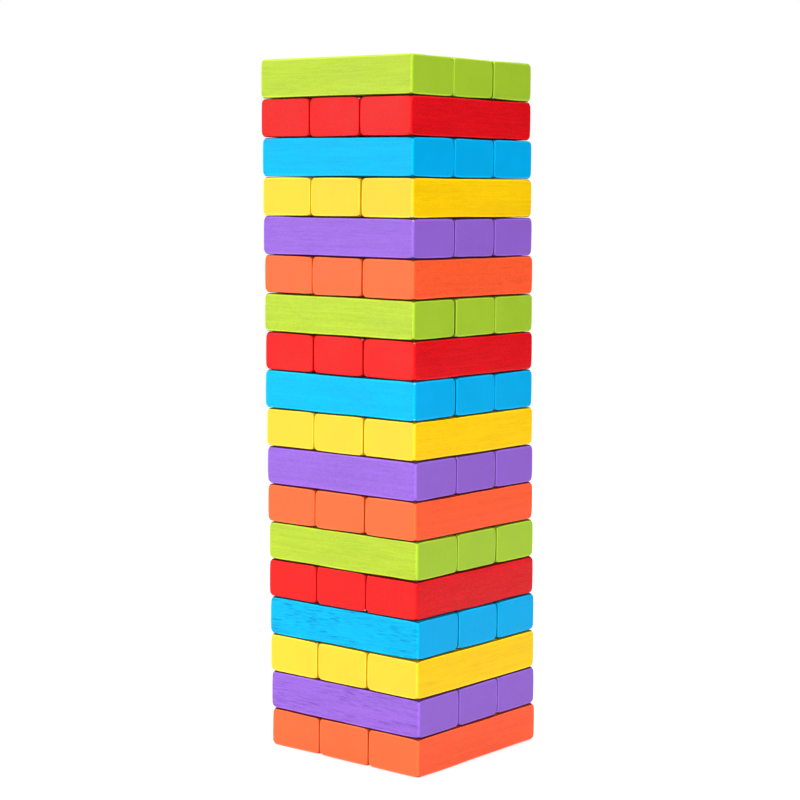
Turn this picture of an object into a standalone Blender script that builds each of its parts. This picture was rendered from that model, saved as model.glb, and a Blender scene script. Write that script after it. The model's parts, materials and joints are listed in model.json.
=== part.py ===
"""Giant tumbling tower: painted wooden blocks stacked in 18 crossed layers of three.

Run with: blender --background --python part.py
Metres, +Z up. The tower stands on the plane Z = 0, and the origin is the middle of its
footprint there. Odd layers, counted from the bottom, lie along Y and even layers along X.
A block slides out along its own length, so each object's origin is its block's middle,
on that line, and its local X axis is the block's length.
"""

import math
import random

import bmesh
import bpy
from mathutils import Vector

# One block is nominally 7.5 x 2.5 x 1.5 inches, so three lie side by side in a square.
BLOCK_LENGTH = 0.1905
BLOCKS_PER_LAYER = 3
BLOCK_PITCH = BLOCK_LENGTH / BLOCKS_PER_LAYER
LAYER_PITCH = 0.0381
LAYER_COUNT = 18

# Blocks that touch keep this gap, which makes each a little slimmer than its pitch.
GAP = 0.0003
BLOCK_WIDTH = BLOCK_PITCH - GAP
BLOCK_THICKNESS = LAYER_PITCH - GAP

# All edges and corners are sanded round.
EDGE_RADIUS = 0.003
EDGE_SEGMENTS = 2

# A stack built by hand: each layer is set down a little to one side of the layer below,
# not quite in line with it, and turned by a fraction of a degree.
LEAN_STEP = 0.0008
LEAN_HEADING = math.radians(-141.0)
LAYER_WANDER = 0.0005
LAYER_TWIST = math.radians(0.15)
BLOCK_SLIP = 0.0005
STACKING_SEED = 1929

# Layer colours from the bottom up, repeated three times, as sRGB paint colours.
PAINTS = {
    "orange": "#FC6A35",
    "purple": "#9B66DC",
    "yellow": "#FFDA1E",
    "blue": "#10B6F0",
    "red": "#EE2228",
    "green": "#A4D03C",
}
PAINT_ROUGHNESS = 0.42
PLACES_ALONG_X = ("front", "middle", "back")
PLACES_ALONG_Y = ("left", "middle", "right")


def clear_scene():
    for obj in list(bpy.data.objects):
        bpy.data.objects.remove(obj, do_unlink=True)


def linear(code):
    """An sRGB hex colour as linear red, green, blue and alpha."""
    values = [int(code[i : i + 2], 16) / 255 for i in (1, 3, 5)]
    return [v / 12.92 if v <= 0.04045 else ((v + 0.055) / 1.055) ** 2.4 for v in values] + [1.0]


def paint(name, code):
    material = bpy.data.materials.new(f"{name}_paint_on_wood")
    material.use_nodes = True
    shader = material.node_tree.nodes["Principled BSDF"]
    shader.inputs["Base Color"].default_value = linear(code)
    shader.inputs["Roughness"].default_value = PAINT_ROUGHNESS
    shader.inputs["Metallic"].default_value = 0.0
    material.diffuse_color = linear(code)
    return material


def block(name, material):
    """One block with rounded edges, its length along local X."""
    mesh = bpy.data.meshes.new(name)
    shape = bmesh.new()
    bmesh.ops.create_cube(shape, size=1.0)
    bmesh.ops.scale(shape, vec=(BLOCK_LENGTH, BLOCK_WIDTH, BLOCK_THICKNESS), verts=shape.verts)
    shape.to_mesh(mesh)
    shape.free()
    mesh.shade_smooth()
    mesh.materials.append(material)
    obj = bpy.data.objects.new(name, mesh)
    bpy.context.scene.collection.objects.link(obj)
    rounding = obj.modifiers.new("sanded edges", "BEVEL")
    rounding.width = EDGE_RADIUS
    rounding.segments = EDGE_SEGMENTS
    rounding.harden_normals = True
    return obj


def layer_positions(chance):
    """The middle and the turn of each layer, from the bottom up."""
    lean = Vector((math.cos(LEAN_HEADING), math.sin(LEAN_HEADING))) * LEAN_STEP
    layers = []
    for index in range(LAYER_COUNT):
        wander = Vector([chance.uniform(-LAYER_WANDER, LAYER_WANDER) for _ in range(2)])
        twist = chance.uniform(-LAYER_TWIST, LAYER_TWIST)
        layers.append((lean * index + wander, twist))
    return layers


def build_layer(index, middle, twist, material, colour, chance):
    """Three parallel blocks; the whole layer turns together, so its gaps stay even."""
    lies_along_y = index % 2 == 0
    heading = twist + (math.pi / 2 if lies_along_y else 0.0)
    along = Vector((math.cos(heading), math.sin(heading)))
    across = Vector((math.cos(twist), math.sin(twist)))
    if not lies_along_y:
        across = Vector((-across.y, across.x))
    height = index * LAYER_PITCH + BLOCK_THICKNESS / 2
    blocks = []
    for number, place in enumerate(PLACES_ALONG_Y if lies_along_y else PLACES_ALONG_X):
        offset = (number - (BLOCKS_PER_LAYER - 1) / 2) * BLOCK_PITCH
        slip = chance.uniform(-BLOCK_SLIP, BLOCK_SLIP)
        spot = middle + across * offset + along * slip
        obj = block(f"layer_{index + 1:02d}_{colour}_{place}", material)
        obj.location = (spot.x, spot.y, height)
        obj.rotation_euler = (0.0, 0.0, heading)
        blocks.append(obj)
    return blocks


def centre_footprint(blocks):
    """Moves the tower so that the middle of its bounding box stands on the origin."""
    bpy.context.view_layer.update()
    corners = [obj.matrix_world @ Vector(corner) for obj in blocks for corner in obj.bound_box]
    for axis in range(2):
        values = [corner[axis] for corner in corners]
        middle = (min(values) + max(values)) / 2
        for obj in blocks:
            obj.location[axis] -= middle


def build_tower():
    clear_scene()
    chance = random.Random(STACKING_SEED)
    materials = {name: paint(name, code) for name, code in PAINTS.items()}
    colours = list(PAINTS)
    blocks = []
    for index, (middle, twist) in enumerate(layer_positions(chance)):
        colour = colours[index % len(colours)]
        blocks += build_layer(index, middle, twist, materials[colour], colour, chance)
    centre_footprint(blocks)


build_tower()
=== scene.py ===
"""Looks of the giant tumbling tower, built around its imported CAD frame.

The file is laid out as a Blender add-on and is run as a script. Each block of the CAD
frame is replaced by a finely modelled one: a sanded wooden block under satin paint, with
the wood's pores showing through. Metres, +Z up, in the frame's own coordinates.
"""

import itertools
import json
import math
import random

import bmesh
import bpy
from bpy.props import FloatProperty, FloatVectorProperty, IntProperty, PointerProperty
from mathutils import Matrix, Vector, noise


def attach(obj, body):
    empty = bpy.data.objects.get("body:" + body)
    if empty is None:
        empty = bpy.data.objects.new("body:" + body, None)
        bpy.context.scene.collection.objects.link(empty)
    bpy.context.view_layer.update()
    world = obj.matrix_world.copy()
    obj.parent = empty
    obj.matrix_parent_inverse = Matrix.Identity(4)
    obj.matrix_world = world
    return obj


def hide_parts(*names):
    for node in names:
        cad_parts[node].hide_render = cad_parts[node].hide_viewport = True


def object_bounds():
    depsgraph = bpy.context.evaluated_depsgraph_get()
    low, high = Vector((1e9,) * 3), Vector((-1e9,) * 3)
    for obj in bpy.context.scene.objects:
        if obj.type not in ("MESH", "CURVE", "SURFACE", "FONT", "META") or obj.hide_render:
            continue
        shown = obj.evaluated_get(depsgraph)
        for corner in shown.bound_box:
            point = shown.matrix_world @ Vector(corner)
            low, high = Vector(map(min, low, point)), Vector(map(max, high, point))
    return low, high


bl_info = {
    "name": "Tumbling Tower Looks",
    "version": (1, 0, 0),
    "blender": (4, 5, 0),
    "location": "3D View > Sidebar > Tower",
    "description": "Painted wooden blocks, studio and camera for a giant tumbling tower",
    "category": "Object",
}

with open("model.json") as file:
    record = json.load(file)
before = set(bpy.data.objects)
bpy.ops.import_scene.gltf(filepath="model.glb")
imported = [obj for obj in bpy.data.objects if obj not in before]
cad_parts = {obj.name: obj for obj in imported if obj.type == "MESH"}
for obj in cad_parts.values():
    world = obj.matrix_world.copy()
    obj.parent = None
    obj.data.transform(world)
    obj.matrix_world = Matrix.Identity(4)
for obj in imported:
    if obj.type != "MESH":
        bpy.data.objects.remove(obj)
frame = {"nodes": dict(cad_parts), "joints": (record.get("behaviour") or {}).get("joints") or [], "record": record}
CAD_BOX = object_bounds()
MM = 0.001

# The bodies' slide directions, which are also the directions of the blocks' lengths.
SLIDES = {joint["child"]: Vector(joint["axis"]) for joint in frame["joints"]}
BODY_OF = {nodes[0]: body for body, nodes in frame["record"]["behaviour"]["bodies"].items()}
LAYERS = max(int(node.split("_")[1]) for node in frame["nodes"])
UP = Vector((0, 0, 1))

# How much of the mottle each paint shows: dark red shows most, yellow hardly any.
MOTTLE_SHARE = {
    "orange": 0.6,
    "purple": 0.5,
    "yellow": 0.28,
    "blue": 0.5,
    "red": 1.1,
    "green": 0.36,
}

# Specular level of each paint: the matting agent leaves all of them with little shine.
SHEEN = {
    "orange": 0.15,
    "purple": 0.11,
    "yellow": 0.12,
    "blue": 0.06,
    "red": 0.13,
    "green": 0.17,
}

# How strongly the pores of single blocks show, by node name. The other blocks' strengths
# are drawn from the range below it.
OPEN_PORED = {
    "layer_18_green_front": 0.4,
    "layer_04_blue_front": 1.6,
    "layer_02_purple_front": 1.0,
}
PORE_STRENGTHS = (0.1, 0.4)

# The patterns of painted rubberwood: the cells' size in millimetres along, across and up
# the block, the noise's detail, roughness and distortion, the span of the noise that
# counts, and what that span becomes.
WOOD_PATTERNS = {
    # Pores are 0.1 to 0.3 mm wide and 1 to 5 mm long in the real wood. They are drawn as
    # groups 0.75 mm wide and up to 15 mm long, because single ones are too fine to show.
    "dashes": ((15.0, 0.75, 0.75), 1.0, 0.4, 0.0, (0.5, 0.66), (0.0, 1.0)),
    # Pores lie thickest in the early wood, in patches that run along the block.
    "patches": ((70.0, 9.0, 9.0), 1.0, 0.5, 0.0, (0.38, 0.62), (0.0, 1.0)),
    # Growth rings are 3 to 6 mm apart and run the length of the block.
    "rings": ((160.0, 4.0, 4.0), 3.0, 0.6, 0.4, (0.3, 0.7), (-1.0, 1.0)),
    # The sprayed film varies in grains of 1 to 2 mm, in streaks that follow the fibres, and
    # in clouds of 30 to 45 mm.
    "grains": ((2.2, 1.35, 1.35), 1.0, 0.5, 0.0, (0.2, 0.8), (-1.0, 1.0)),
    "streaks": ((22.0, 1.6, 1.6), 1.0, 0.5, 0.0, (0.25, 0.75), (-1.0, 1.0)),
    "cloud": ((45.0, 30.0, 30.0), 2.0, 0.5, 0.0, (0.3, 0.7), (-1.0, 1.0)),
}
PORE_DEPTH = 0.15 * MM

# How much lighter or darker one block is than another of its colour, at most.
TONE_CHANGE = 0.02

# Wear of a corner is drawn from this range, and below 0 its paint is whole.
CORNER_WEAR = (-2.5, 1.0)

# Distances over which sanding by hand changes: its radius on the edges, the waves in the
# faces, and how much the faces fall away to their edges. The last two take the place in
# the wood at other multiples, so that the three changes have nothing to do with each other.
RADIUS_CELL = 32 * MM
WAVE_CELL = 45 * MM
WAVE_MULTIPLE = 1.7
ROLL_OFF_CELL = 60 * MM
ROLL_OFF_MULTIPLE = 2.3
ROLL_OFF_CHANGE = 2.4

# The turn of a surface towards a touching block at which the painted shade of the seam
# starts, as a cosine, on most sides and on the sides that face the key light, which get
# less of it, and the rise of that cosine to full shade.
SEAM_SHADE_FROM = 0.5
LIT_SIDE_SHADE_FROM = 0.65
SEAM_SHADE_RISE = 0.25

# The same for the end grain, by the turn towards the block's length, and for chips at the
# corners, by the least of the turns towards its three axes.
END_GRAIN_FROM = 0.3
END_GRAIN_RISE = 0.5
CHIP_FROM = 0.3
CHIP_RISE = 0.2

# The softboxes' width, height, azimuth and elevation in degrees, and distance.
KEY_SOFTBOX = (1.4, 2.0, -32.0, 14.0, 2.4)
FILL_SOFTBOX = (0.8, 0.7, 70.0, 24.0, 1.3)
BACK_SOFTBOX = (1.2, 1.6, 225.0, 20.0, 2.6)
FILL_RISE = 0.15

# The table lies this far under the tower, so that the two never share a plane.
TABLE_GAP = 0.1 * MM


def linear(code):
    """An sRGB hex colour as linear red, green and blue."""
    values = [int(code[i : i + 2], 16) / 255 for i in (1, 3, 5)]
    return [v / 12.92 if v <= 0.04045 else ((v + 0.055) / 1.055) ** 2.4 for v in values]


def clamp(value):
    return min(1.0, max(0.0, value))


def colour_setting(name, code, description):
    return FloatVectorProperty(
        name=name,
        description=description,
        default=linear(code),
        subtype="COLOR",
        size=3,
        min=0.0,
        max=1.0,
    )


class BlockSettings(bpy.types.PropertyGroup):
    """Shape of one sanded block."""

    edge_radius: FloatProperty(
        name="Edge radius",
        description="Radius that the long and short edges are sanded to",
        default=1.5 * MM,
        min=0.5 * MM,
        max=9.0 * MM,
        unit="LENGTH",
    )
    corner_radius: FloatProperty(
        name="Corner radius",
        description="Radius at the eight corners, which sanding wears more than the edges",
        default=4.0 * MM,
        min=0.5 * MM,
        max=9.0 * MM,
        unit="LENGTH",
    )
    corner_reach: FloatProperty(
        name="Corner reach",
        description="How far from a corner its larger radius fades into the edges",
        default=6.5 * MM,
        min=1.0 * MM,
        max=30.0 * MM,
        unit="LENGTH",
    )
    radius_change: FloatProperty(
        name="Radius change",
        description="Share by which hand sanding varies the radius along an edge",
        default=0.16,
        min=0.0,
        max=0.5,
        subtype="FACTOR",
    )
    hollow: FloatProperty(
        name="Sanding hollows",
        description="Depth of the shallow waves that a belt sander leaves in a face",
        default=0.12 * MM,
        min=0.0,
        max=0.5 * MM,
        unit="LENGTH",
    )
    roll_off: FloatVectorProperty(
        name="Roll-off",
        description="How much the ends, sides, and top and bottom fall away along their edges",
        default=(0.0, 0.2 * MM, 0.45 * MM),
        size=3,
        min=0.0,
        max=1.0 * MM,
        unit="LENGTH",
    )
    roll_reach: FloatProperty(
        name="Roll-off reach",
        description="How far from an edge a face starts to fall away",
        default=8.0 * MM,
        min=1.0 * MM,
        max=40.0 * MM,
        unit="LENGTH",
    )
    # Painted highlight: the width of the lighter strip beside a rounded edge.
    edge_highlight_width: FloatProperty(
        name="Arris width",
        description="Width of the strip beside a rounded edge in which the paint thins",
        default=0.9 * MM,
        min=0.1 * MM,
        max=3.0 * MM,
        unit="LENGTH",
    )
    # Painted shade: how far the darkening of a seam reaches in from the edge of a touching face.
    joint_shade_reach: FloatProperty(
        name="Joint reach",
        description="How far dust and rubbed paint reach in from the edge of a touching face",
        default=3.0 * MM,
        min=0.1 * MM,
        max=20.0 * MM,
        unit="LENGTH",
    )
    face_step: FloatProperty(
        name="Mesh spacing",
        description="Distance between the mesh's rows on the flat faces",
        default=7.0 * MM,
        min=3.0 * MM,
        max=20.0 * MM,
        unit="LENGTH",
    )
    arc_steps: IntProperty(
        name="Arc steps",
        description="Mesh rows in half of an edge's quarter circle",
        default=3,
        min=2,
        max=6,
    )


class PaintSettings(bpy.types.PropertyGroup):
    """Colours of the six paints, and how much of the wood shows through."""

    orange: colour_setting("Orange", "#FD5A2E", "Sides of layers 1, 7 and 13")
    purple: colour_setting("Purple", "#9062CE", "Sides of layers 2, 8 and 14")
    yellow: colour_setting("Yellow", "#FECD02", "Sides of layers 3, 9 and 15")
    blue: colour_setting("Blue", "#00B1E4", "Sides of layers 4, 10 and 16")
    red: colour_setting("Red", "#DC0A16", "Sides of layers 5, 11 and 17")
    green: colour_setting("Green", "#AEC92C", "Sides of layers 6, 12 and 18")
    # The end grain drinks in the paint and dries to a slightly different shade. The two
    # colours also differ by painted highlight: the faces that turn to the front, towards the
    # key light, get the less saturated one, which is the ends on the odd layers and the sides
    # on the even ones.
    orange_ends: colour_setting("Orange ends", "#FD6634", "End grain of layers 1, 7 and 13")
    purple_ends: colour_setting("Purple ends", "#8E60CB", "End grain of layers 2, 8 and 14")
    yellow_ends: colour_setting("Yellow ends", "#FEC833", "End grain of layers 3, 9 and 15")
    blue_ends: colour_setting("Blue ends", "#00AAE8", "End grain of layers 4, 10 and 16")
    red_ends: colour_setting("Red ends", "#DC1412", "End grain of layers 5, 11 and 17")
    green_ends: colour_setting("Green ends", "#A1C52E", "End grain of layers 6, 12 and 18")
    pores: FloatProperty(
        name="Pores",
        description="How strongly the wood's pores show as darker dashes",
        default=0.55,
        min=0.0,
        max=1.0,
        subtype="FACTOR",
    )
    figure: FloatProperty(
        name="Figure",
        description="How strongly the growth rings lighten and darken the paint",
        default=0.05,
        min=0.0,
        max=0.3,
        subtype="FACTOR",
    )
    mottle: FloatProperty(
        name="Mottle",
        description="Fine change of the paint film's lightness",
        default=0.16,
        min=0.0,
        max=0.5,
        subtype="FACTOR",
    )
    # Painted highlight: how much lighter the strip along a sanded edge is.
    edge_highlight: FloatProperty(
        name="Arris gain",
        description="How much lighter the thin paint on the sanded edges is",
        default=0.35,
        min=0.0,
        max=1.0,
        subtype="FACTOR",
    )
    # Painted shade: how much darker the edge is where a block lies on another.
    joint_shade: FloatProperty(
        name="Joint dirt",
        description="How much darker dust makes the edge where a block lies on another",
        default=0.88,
        min=0.0,
        max=1.0,
        subtype="FACTOR",
    )
    # Painted shade: how much darker the edge between blocks of an even layer is.
    side_shade: FloatProperty(
        name="Side dirt",
        description="How much darker dust makes the edge between blocks of an even layer",
        default=0.85,
        min=0.0,
        max=1.0,
        subtype="FACTOR",
    )
    # Painted shade: the same for the odd layers, which get less of it.
    odd_side_shade: FloatProperty(
        name="Side dirt, odd layers",
        description="The same for the odd layers, whose warm paints show dust less",
        default=0.55,
        min=0.0,
        max=1.0,
        subtype="FACTOR",
    )
    roughness: FloatProperty(
        name="Roughness",
        description="Roughness of the satin film on the flats",
        default=0.38,
        min=0.0,
        max=1.0,
        subtype="FACTOR",
    )
    roughness_change: FloatProperty(
        name="Roughness change",
        description="How much rougher or smoother the film's clouds are",
        default=0.04,
        min=0.0,
        max=0.3,
        subtype="FACTOR",
    )
    wood: colour_setting("Bare wood", "#F2E4C8", "Rubberwood where the paint is chipped")


class StageSettings(bpy.types.PropertyGroup):
    """Floor, light and camera."""

    floor: colour_setting("Floor", "#C4C4C3", "White acrylic table under the tower")
    floor_radius: FloatProperty(
        name="Floor radius",
        description="Radius of the round table",
        default=2.0,
        min=1.0,
        max=20.0,
        unit="LENGTH",
    )
    backlight: FloatProperty(
        name="Table light",
        description="How strongly the table is lit from below, which thins the shadow",
        default=0.57,
        min=0.0,
        max=2.0,
    )
    ambient: FloatProperty(
        name="Ambient",
        description="Brightness of the studio's walls as the tower sees them",
        default=0.08,
        min=0.0,
        max=2.0,
    )
    key: FloatProperty(
        name="Key light",
        description="Power of the large softbox at the front left, in watts",
        default=37.0,
        min=0.0,
        max=500.0,
    )
    fill: FloatProperty(
        name="Fill light",
        description="Power of the softbox at the right, in watts",
        default=5.5,
        min=0.0,
        max=500.0,
    )
    back: FloatProperty(
        name="Back light",
        description="Power of the softbox behind the tower, in watts",
        default=12.0,
        min=0.0,
        max=500.0,
    )
    top: FloatProperty(
        name="Top light",
        description="Strength of the wide overhead diffuser, in watts per square metre",
        default=3.1,
        min=0.0,
        max=20.0,
    )
    top_angle: FloatProperty(
        name="Top light width",
        description="Full angle of the overhead diffuser as the tower sees it",
        default=math.radians(110.0),
        min=0.0,
        max=math.pi,
        subtype="ANGLE",
    )
    azimuth: FloatProperty(
        name="Camera azimuth",
        description="Direction of the camera from the tower, turned from -Y towards +X",
        default=math.radians(39.04),
        subtype="ANGLE",
    )
    pan: FloatProperty(
        name="Camera pan",
        description="Turn of the camera to the left of the tower's axis",
        default=math.radians(0.02),
        subtype="ANGLE",
    )
    distance: FloatProperty(
        name="Camera distance",
        description="Level distance from the tower's axis to the camera",
        default=2.0543,
        min=0.5,
        max=20.0,
        unit="LENGTH",
    )
    eye_height: FloatProperty(
        name="Camera height",
        description="Height of the camera above the floor",
        default=0.5601,
        min=0.0,
        max=5.0,
        unit="LENGTH",
    )
    tilt: FloatProperty(
        name="Camera tilt",
        description="Angle that the camera looks down",
        default=math.radians(5.841),
        subtype="ANGLE",
    )
    roll: FloatProperty(
        name="Camera roll",
        description="Turn of the camera about its own axis",
        default=math.radians(0.52),
        subtype="ANGLE",
    )
    lens: FloatProperty(
        name="Lens",
        description="Focal length in millimetres on a 36 mm sensor",
        default=92.64,
        min=20.0,
        max=300.0,
    )


class TowerSettings(bpy.types.PropertyGroup):
    """All settings of the tower's looks."""

    blocks: PointerProperty(type=BlockSettings, name="Blocks", description="Block shape")
    paint: PointerProperty(type=PaintSettings, name="Paint", description="Paint colours")
    stage: PointerProperty(type=StageSettings, name="Stage", description="Studio set")


def block_size(node, along):
    """The middle of a CAD block that lies along a direction, and its three sizes."""
    points = [vertex.co for vertex in frame["nodes"][node].data.vertices]
    middle = Vector((0, 0, 0))
    size = []
    for direction in (along, Vector((-along.y, along.x, 0.0)), UP):
        reach = [point.dot(direction) for point in points]
        low, high = min(reach), max(reach)
        middle += direction * (low + high) / 2
        size.append(high - low)
    return middle, size


def rows(half, settings):
    """Mesh positions along one side of a block: close together where its edges are round."""
    radius = settings.edge_radius
    arc = [
        radius * math.tan(math.pi / 4 * step / settings.arc_steps)
        for step in range(settings.arc_steps + 1)
    ]
    flat = half - radius
    hold = flat - settings.joint_shade_reach
    count = max(2, round(2 * hold / settings.face_step))
    inner = [hold * (2 * step / count - 1) for step in range(count + 1)]
    outer = [flat - settings.edge_highlight_width] + [flat + out for out in arc]
    return [-value for value in reversed(outer)] + inner + outer


def touching_sides(node, paint):
    """The directions in which a block touches others, with how much painted shade its edge gets there.

    Each direction is along one of the block's own axes, and comes with its share of painted
    shade and the turn at which that shade starts. Sides that face left or front, towards the
    key light, get less painted shade.
    """
    _, layer, _, place = node.split("_")
    odd = int(layer) % 2 == 1
    seam_shade = paint.odd_side_shade if odd else paint.side_shade
    sides = [(-UP, paint.joint_shade, SEAM_SHADE_FROM)]
    if int(layer) < LAYERS:
        sides.append((UP, paint.joint_shade, SEAM_SHADE_FROM))
    # Local -Y is the tower's right on the odd layers, and its front on the even ones.
    # The sides turned left or front, towards the key light, get less painted shade.
    if place not in ("right", "front"):
        sides.append((Vector((0, -1, 0)), seam_shade, SEAM_SHADE_FROM if odd else LIT_SIDE_SHADE_FROM))
    if place not in ("left", "back"):
        sides.append((Vector((0, 1, 0)), seam_shade, LIT_SIDE_SHADE_FROM if odd else SEAM_SHADE_FROM))
    return sides


def sanded_point(point, halves, settings, offset):
    """Where a point of the plain box lies on the sanded block.

    Returns the place, the outward direction there, and the distance from the rounding of
    the nearest edge, which is below 0 on the rounding itself.
    """
    near = sorted(half - abs(value) for value, half in zip(point, halves))
    along_edge = max(0.0, 1.0 - near[2] / settings.corner_reach)
    blend = along_edge * along_edge * (3.0 - 2.0 * along_edge)
    radius = settings.edge_radius + (settings.corner_radius - settings.edge_radius) * blend
    radius *= 1.0 + settings.radius_change * noise.noise((point + offset) / RADIUS_CELL)
    core = Vector([max(-h + radius, min(h - radius, v)) for v, h in zip(point, halves)])
    outward = (point - core).normalized()
    wave = 0.5 + 0.5 * noise.noise((point + offset * WAVE_MULTIPLE) / WAVE_CELL)
    near_edge = max(0.0, 1.0 - near[1] / settings.roll_reach)
    change = noise.noise((point + offset * ROLL_OFF_MULTIPLE) / ROLL_OFF_CELL)
    fall = max(0.0, 1.0 + ROLL_OFF_CHANGE * change) * near_edge * near_edge
    place = core + outward * (radius - settings.hollow * wave)
    for axis in range(3):
        place[axis] -= outward[axis] * settings.roll_off[axis] * fall
    return place, outward, near[1] - settings.edge_radius


def face_grid(shape, cache, coordinates, axis, end):
    """Adds one side of the box as a grid that shares the other sides' vertices."""
    first, second = [a for a in range(3) if a != axis]
    size = [len(values) for values in coordinates]
    outward = (end > 0) != (axis == 1)

    def vertex(i, j):
        key = [0, 0, 0]
        key[axis] = size[axis] - 1 if end > 0 else 0
        key[first], key[second] = i, j
        key = tuple(key)
        if key not in cache:
            place = Vector([coordinates[a][key[a]] for a in range(3)])
            cache[key] = shape.verts.new(place)
        return cache[key]

    for i in range(size[first] - 1):
        for j in range(size[second] - 1):
            ring = [vertex(i, j), vertex(i + 1, j), vertex(i + 1, j + 1), vertex(i, j + 1)]
            shape.faces.new(ring if outward else ring[::-1])


def sanded_block_mesh(name, size, settings, offset, touching, wear, pore_strength, tone):
    """A block with sanded edges, as a mesh along local X.

    Its vertices carry what the material needs: the place in the wood, and how far each is
    end grain, arris under painted highlight, joint under painted shade or chipped corner.
    """
    halves = [side / 2 for side in size]
    coordinates = [rows(half, settings) for half in halves]
    shape = bmesh.new()
    cache = {}
    for axis in range(3):
        for end in (-1, 1):
            face_grid(shape, cache, coordinates, axis, end)
    place = shape.verts.layers.float_vector.new("wood_place")
    ends = shape.verts.layers.float.new("end_grain")
    arris = shape.verts.layers.float.new("arris")
    joint = shape.verts.layers.float.new("joint")
    chip = shape.verts.layers.float.new("chip")
    pores = shape.verts.layers.float.new("pore_strength")
    lightness = shape.verts.layers.float.new("tone")
    for vertex in shape.verts:
        vertex.co, outward, margin = sanded_point(vertex.co.copy(), halves, settings, offset)
        # Painted shade: darker where the surface turns towards a touching block, near its edge.
        seam_shade = max(
            share * clamp((outward.dot(side) - start) / SEAM_SHADE_RISE)
            for side, share, start in touching
        )
        worn = wear[tuple(value > 0 for value in outward)]
        vertex[place] = vertex.co + offset
        vertex[ends] = clamp((abs(outward.x) - END_GRAIN_FROM) / END_GRAIN_RISE)
        # Painted highlight along the arris.
        vertex[arris] = clamp(1.0 - margin / settings.edge_highlight_width)
        vertex[joint] = seam_shade * clamp(1.0 - margin / settings.joint_shade_reach) ** 2
        vertex[chip] = worn * clamp((min(map(abs, outward)) - CHIP_FROM) / CHIP_RISE)
        vertex[pores] = pore_strength
        vertex[lightness] = tone
    mesh = bpy.data.meshes.new(name)
    shape.to_mesh(mesh)
    shape.free()
    mesh.shade_smooth()
    return mesh


def add_node(tree, kind, feeds=None, output=0, **settings):
    """Adds a node with its settings, and returns one of its outputs.

    feeds gives its inputs by name or index, each as a value or as another node's output.
    """
    node = tree.nodes.new(kind)
    for key, value in settings.items():
        setattr(node, key, value)
    for socket, value in (feeds or {}).items():
        if isinstance(value, bpy.types.NodeSocket):
            tree.links.new(value, node.inputs[socket])
        else:
            node.inputs[socket].default_value = value
    return node.outputs[output]


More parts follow.
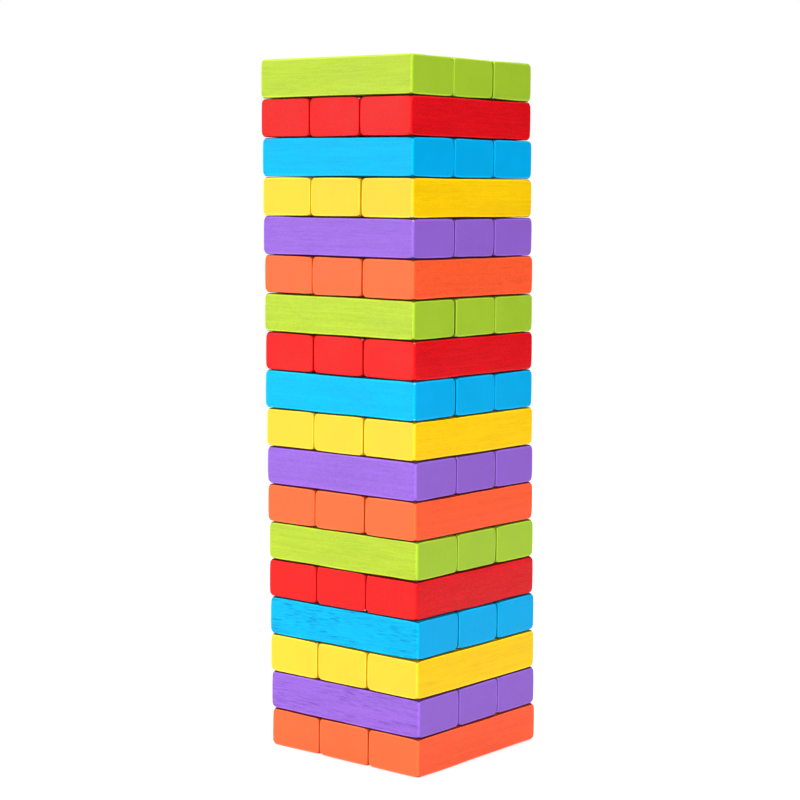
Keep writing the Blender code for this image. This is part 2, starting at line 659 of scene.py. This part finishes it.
def painted_wood(name, colour, end_colour, mottle, sheen, paint):
    """Satin paint sprayed on sanded rubberwood.

    Rubberwood is coarse and straight grained. The thin paint doesn't fill its open pores,
    so they show as short, slightly darker dashes along the block's length. The paint
    levels to a satin film with a soft sheen on the flats. The thin light line along the
    sanded edges is painted highlight. The end grain drinks it in and dries to a shade of
    its own; the faces that turn to the front, towards the key light, also get the less
    saturated of the two colours, which is painted highlight.
    """
    material = bpy.data.materials.new(name)
    material.use_nodes = True
    tree = material.node_tree
    shader = tree.nodes["Principled BSDF"]
    shader.inputs["Metallic"].default_value = 0.0
    shader.inputs["IOR"].default_value = 1.5
    shader.inputs["Specular IOR Level"].default_value = sheen

    place = add_node(
        tree, "ShaderNodeAttribute", output="Vector", attribute_name="wood_place"
    )
    values = {
        key: add_node(tree, "ShaderNodeAttribute", output="Fac", attribute_name=key)
        for key in ("end_grain", "arris", "joint", "chip", "pore_strength", "tone")
    }
    for key, (cell, detail, roughness, distortion, span, result) in WOOD_PATTERNS.items():
        stretched = add_node(
            tree,
            "ShaderNodeVectorMath",
            {0: place, 1: [1 / (side * MM) for side in cell]},
            operation="MULTIPLY",
        )
        pattern = add_node(
            tree,
            "ShaderNodeTexNoise",
            {
                "Vector": stretched,
                "Scale": 1.0,
                "Detail": detail,
                "Roughness": roughness,
                "Distortion": distortion,
            },
        )
        values[key] = add_node(
            tree,
            "ShaderNodeMapRange",
            {
                "Value": pattern,
                "From Min": span[0],
                "From Max": span[1],
                "To Min": result[0],
                "To Max": result[1],
            },
            interpolation_type="SMOOTHSTEP",
        )

    # Each step gives its result's name, the operation, and its terms, by name or value.
    steps = (
        ("sides", "SUBTRACT", 1.0, "end_grain"),
        # Outside the patches the wood has two fifths of their pores, and the ends have none.
        ("crowding", "ADD", 0.4, "patches"),
        ("pores", "MULTIPLY", "dashes", "crowding"),
        ("pores", "MULTIPLY", "pores", "sides"),
        ("pores", "MULTIPLY", "pores", "pore_strength"),
        ("rings_on_sides", "MULTIPLY", "rings", "sides"),
        ("ring_light", "MULTIPLY", "rings_on_sides", paint.figure),
        # The end grain soaks up the paint about twice as evenly as the sides do.
        ("speckle", "MULTIPLY_ADD", "streaks", 0.4, "grains"),
        ("evenness", "MULTIPLY_ADD", "end_grain", -0.45, 1.0),
        ("speckle_seen", "MULTIPLY", "speckle", "evenness"),
        ("speckle_light", "MULTIPLY", "speckle_seen", mottle),
        ("cloud_light", "MULTIPLY", "cloud", 0.02),
        ("light", "ADD", "ring_light", "speckle_light"),
        ("light", "ADD", "light", "cloud_light"),
        ("light", "ADD", "light", "tone"),
        # Painted highlight: the arris is made lighter, as a light line along the sanded edges.
        ("light", "MULTIPLY_ADD", "arris", paint.edge_highlight, "light"),
        ("light", "ADD", "light", 1.0),
        # Painted shade darkens the line where two blocks touch, where the gap lies in shadow.
        ("clean", "SUBTRACT", 1.0, "joint"),
        ("light", "MULTIPLY", "light", "clean"),
        ("pooling", "MULTIPLY", "pores", paint.pores),
        # A satin film is dull in the pores, which are dents in it. The grains and the
        # rings are far shallower.
        ("roughness", "MULTIPLY_ADD", "pores", 0.12, "gloss"),
        ("grain_relief", "MULTIPLY", "speckle", 0.12),
        ("relief", "MULTIPLY_ADD", "pores", -1.0, "grain_relief"),
        ("relief", "MULTIPLY_ADD", "rings", 0.15, "relief"),
    )
    # The satin film is a little rougher in some of its clouds than in others.
    values["gloss"] = add_node(
        tree,
        "ShaderNodeMapRange",
        {
            "Value": values["cloud"],
            "From Min": -1.0,
            "From Max": 1.0,
            "To Min": paint.roughness - paint.roughness_change,
            "To Max": paint.roughness + paint.roughness_change,
        },
        interpolation_type="SMOOTHSTEP",
    )
    for result, operation, *terms in steps:
        feeds = {index: values.get(term, term) for index, term in enumerate(terms)}
        values[result] = add_node(tree, "ShaderNodeMath", feeds, operation=operation)

    # The sides' and the ends' colours; the one on the faces turned to the key light is less saturated, as painted
    # highlight.
    film = add_node(
        tree,
        "ShaderNodeMix",
        {"Factor": values["end_grain"], 6: [*colour, 1.0], 7: [*end_colour, 1.0]},
        output=2,
        data_type="RGBA",
    )
    shaded = add_node(
        tree, "ShaderNodeVectorMath", {0: film, "Scale": values["light"]}, operation="SCALE"
    )
    # Paint pools in the pores, where it is a quarter darker and more saturated.
    deep = [channel**1.2 * 0.74 for channel in colour]
    pooled = add_node(
        tree,
        "ShaderNodeMix",
        {"Factor": values["pooling"], 6: shaded, 7: [*deep, 1.0]},
        output=2,
        data_type="RGBA",
    )
    # At some corners a chip of the paint is gone, and the pale wood shows.
    worn = add_node(
        tree,
        "ShaderNodeMix",
        {"Factor": values["chip"], 6: pooled, 7: [*paint.wood, 1.0]},
        output=2,
        data_type="RGBA",
    )
    bump = add_node(
        tree,
        "ShaderNodeBump",
        {"Height": values["relief"], "Strength": 0.35, "Distance": PORE_DEPTH},
    )
    tree.links.new(worn, shader.inputs["Base Color"])
    tree.links.new(values["roughness"], shader.inputs["Roughness"])
    tree.links.new(bump, shader.inputs["Normal"])
    return material


def build_blocks(colour):
    """Replaces the CAD blocks of one paint colour by sanded, painted ones."""
    settings = bpy.context.scene.tumbling_tower
    nodes = sorted(name for name in frame["nodes"] if name.split("_")[2] == colour)
    if not nodes:
        raise RuntimeError(f"the frame has no {colour} blocks")
    paint = settings.paint
    material = painted_wood(
        f"{colour} satin paint sprayed on sanded rubberwood",
        list(getattr(paint, colour)),
        list(getattr(paint, colour + "_ends")),
        paint.mottle * MOTTLE_SHARE[colour],
        SHEEN[colour],
        paint,
    )
    for node in nodes:
        chance = random.Random(node)
        layer = node.rsplit("_", 1)[0]
        along = next(axis for body, axis in SLIDES.items() if body.startswith(layer))
        middle, size = block_size(node, along)
        offset = Vector([chance.uniform(-1.0, 1.0) for _ in range(3)])
        pore_strength = OPEN_PORED.get(node, chance.uniform(*PORE_STRENGTHS))
        tone = chance.uniform(-TONE_CHANGE, TONE_CHANGE)
        corners = itertools.product((False, True), repeat=3)
        wear = {corner: max(0.0, chance.uniform(*CORNER_WEAR)) for corner in corners}
        name = node + "_painted"
        mesh = sanded_block_mesh(
            name,
            size,
            settings.blocks,
            offset,
            touching_sides(node, paint),
            wear,
            pore_strength,
            tone,
        )
        mesh.materials.append(material)
        piece = bpy.data.objects.new(name, mesh)
        bpy.context.scene.collection.objects.link(piece)
        turn = math.atan2(along.y, along.x)
        piece.matrix_world = Matrix.Translation(middle) @ Matrix.Rotation(turn, 4, "Z")
        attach(piece, BODY_OF[node])
        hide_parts(node)
    return {"FINISHED"}


def white_acrylic(colour, backlight):
    """Matt white acrylic lit from below, as on a product table: a thin, pale shadow."""
    material = bpy.data.materials.new("backlit matt white acrylic")
    material.use_nodes = True
    tree = material.node_tree
    shader = tree.nodes["Principled BSDF"]
    shader.inputs["Roughness"].default_value = 0.9
    shader.inputs["Specular IOR Level"].default_value = 0.1
    shader.inputs["Emission Color"].default_value = (1, 1, 1, 1)
    shader.inputs["Emission Strength"].default_value = backlight
    place = add_node(tree, "ShaderNodeTexCoord", output="Object")
    cloud = add_node(
        tree, "ShaderNodeTexNoise", {"Vector": place, "Scale": 3.0, "Detail": 4.0}
    )
    darker = [0.99 * channel for channel in colour]
    tint = add_node(
        tree,
        "ShaderNodeMix",
        {"Factor": cloud, 6: [*colour, 1.0], 7: [*darker, 1.0]},
        output=2,
        data_type="RGBA",
    )
    tree.links.new(tint, shader.inputs["Base Color"])
    return material


def build_floor(stage):
    """A round table just under the tower."""
    shape = bmesh.new()
    bmesh.ops.create_circle(shape, cap_ends=True, segments=96, radius=stage.floor_radius)
    mesh = bpy.data.meshes.new("floor")
    shape.to_mesh(mesh)
    shape.free()
    mesh.materials.append(white_acrylic(list(stage.floor), stage.backlight))
    floor = bpy.data.objects.new("floor", mesh)
    bpy.context.scene.collection.objects.link(floor)
    floor.location.z = CAD_BOX[0].z - TABLE_GAP


def softbox(name, power, placing, target):
    """A rectangular area light that looks at target from a direction and a distance."""
    width, height, azimuth, elevation, distance = placing
    light = bpy.data.lights.new(name, "AREA")
    light.shape = "RECTANGLE"
    light.size, light.size_y = width, height
    light.energy = power
    lamp = bpy.data.objects.new(name, light)
    bpy.context.scene.collection.objects.link(lamp)
    turn, rise = math.radians(azimuth), math.radians(elevation)
    away = Vector(
        (math.sin(turn) * math.cos(rise), -math.cos(turn) * math.cos(rise), math.sin(rise))
    )
    lamp.location = target + away * distance
    lamp.rotation_euler = away.to_track_quat("Z", "Y").to_euler()
    lamp.visible_camera = False


def build_light(stage):
    """Softboxes at the front left, the right and behind, and a wide diffuser above."""
    low, high = CAD_BOX
    middle = (low + high) / 2
    softbox("key_softbox", stage.key, KEY_SOFTBOX, middle)
    softbox("fill_softbox", stage.fill, FILL_SOFTBOX, middle + UP * FILL_RISE)
    softbox("back_softbox", stage.back, BACK_SOFTBOX, middle)
    diffuser = bpy.data.lights.new("overhead_diffuser", "SUN")
    diffuser.energy = stage.top
    diffuser.angle = stage.top_angle
    lamp = bpy.data.objects.new("overhead_diffuser", diffuser)
    bpy.context.scene.collection.objects.link(lamp)
    world = bpy.data.worlds.new("white studio")
    bpy.context.scene.world = world
    world.use_nodes = True
    tree = world.node_tree
    walls = tree.nodes["Background"]
    walls.inputs["Color"].default_value = (1, 1, 1, 1)
    walls.inputs["Strength"].default_value = stage.ambient
    # The camera sees plain white behind the tower, however dim the walls' light is.
    backdrop = add_node(tree, "ShaderNodeBackground", {"Color": (1, 1, 1, 1)})
    seen = add_node(tree, "ShaderNodeLightPath", output="Is Camera Ray")
    both = add_node(
        tree,
        "ShaderNodeMixShader",
        {0: seen, 1: walls.outputs["Background"], 2: backdrop},
    )
    tree.links.new(both, tree.nodes["World Output"].inputs["Surface"])


def build_camera(stage):
    """A camera that stands level with the upper part of the tower and looks a little down."""
    data = bpy.data.cameras.new("camera")
    data.lens = stage.lens
    data.sensor_width = 36.0
    camera = bpy.data.objects.new("camera", data)
    bpy.context.scene.collection.objects.link(camera)
    place = Vector((math.sin(stage.azimuth), -math.cos(stage.azimuth), 0.0)) * stage.distance
    place.z = stage.eye_height
    camera.matrix_world = (
        Matrix.Translation(place)
        @ Matrix.Rotation(stage.azimuth + stage.pan, 4, "Z")
        @ Matrix.Rotation(math.pi / 2 - stage.tilt, 4, "X")
        @ Matrix.Rotation(stage.roll, 4, "Z")
    )
    bpy.context.scene.camera = camera


class TOWER_OT_orange_blocks(bpy.types.Operator):
    """Build the orange blocks of layers 1, 7 and 13"""

    bl_idname = "tower.orange_blocks"
    bl_label = "Orange Blocks"

    def execute(self, context):
        return build_blocks("orange")


class TOWER_OT_purple_blocks(bpy.types.Operator):
    """Build the purple blocks of layers 2, 8 and 14"""

    bl_idname = "tower.purple_blocks"
    bl_label = "Purple Blocks"

    def execute(self, context):
        return build_blocks("purple")


class TOWER_OT_yellow_blocks(bpy.types.Operator):
    """Build the yellow blocks of layers 3, 9 and 15"""

    bl_idname = "tower.yellow_blocks"
    bl_label = "Yellow Blocks"

    def execute(self, context):
        return build_blocks("yellow")


class TOWER_OT_blue_blocks(bpy.types.Operator):
    """Build the blue blocks of layers 4, 10 and 16"""

    bl_idname = "tower.blue_blocks"
    bl_label = "Blue Blocks"

    def execute(self, context):
        return build_blocks("blue")


class TOWER_OT_red_blocks(bpy.types.Operator):
    """Build the red blocks of layers 5, 11 and 17"""

    bl_idname = "tower.red_blocks"
    bl_label = "Red Blocks"

    def execute(self, context):
        return build_blocks("red")


class TOWER_OT_green_blocks(bpy.types.Operator):
    """Build the green blocks of layers 6, 12 and 18"""

    bl_idname = "tower.green_blocks"
    bl_label = "Green Blocks"

    def execute(self, context):
        return build_blocks("green")


class TOWER_OT_stage(bpy.types.Operator):
    """Build the floor, the studio light and the camera"""

    bl_idname = "tower.stage"
    bl_label = "Studio Stage"

    def execute(self, context):
        stage = context.scene.tumbling_tower.stage
        build_floor(stage)
        build_light(stage)
        build_camera(stage)
        context.scene.view_settings.view_transform = "Standard"
        return {"FINISHED"}


OPERATORS = (
    TOWER_OT_orange_blocks,
    TOWER_OT_purple_blocks,
    TOWER_OT_yellow_blocks,
    TOWER_OT_blue_blocks,
    TOWER_OT_red_blocks,
    TOWER_OT_green_blocks,
    TOWER_OT_stage,
)


class TOWER_PT_panel(bpy.types.Panel):
    """Settings and building steps of the tumbling tower"""

    bl_idname = "TOWER_PT_panel"
    bl_label = "Tumbling Tower"
    bl_space_type = "VIEW_3D"
    bl_region_type = "UI"
    bl_category = "Tower"

    def draw(self, context):
        settings = context.scene.tumbling_tower
        for group in (settings.blocks, settings.paint, settings.stage):
            column = self.layout.column(align=True)
            for key in group.__annotations__:
                column.prop(group, key)
        for operator in OPERATORS:
            self.layout.operator(operator.bl_idname)


CLASSES = (
    BlockSettings,
    PaintSettings,
    StageSettings,
    TowerSettings,
    *OPERATORS,
    TOWER_PT_panel,
)


def register():
    for cls in CLASSES:
        bpy.utils.register_class(cls)
    bpy.types.Scene.tumbling_tower = PointerProperty(type=TowerSettings)


def unregister():
    del bpy.types.Scene.tumbling_tower
    for cls in reversed(CLASSES):
        bpy.utils.unregister_class(cls)


def main():
    register()
    for operator in OPERATORS:
        group, name = operator.bl_idname.split(".")
        getattr(getattr(bpy.ops, group), name)()


if __name__ == "__main__":
    main()
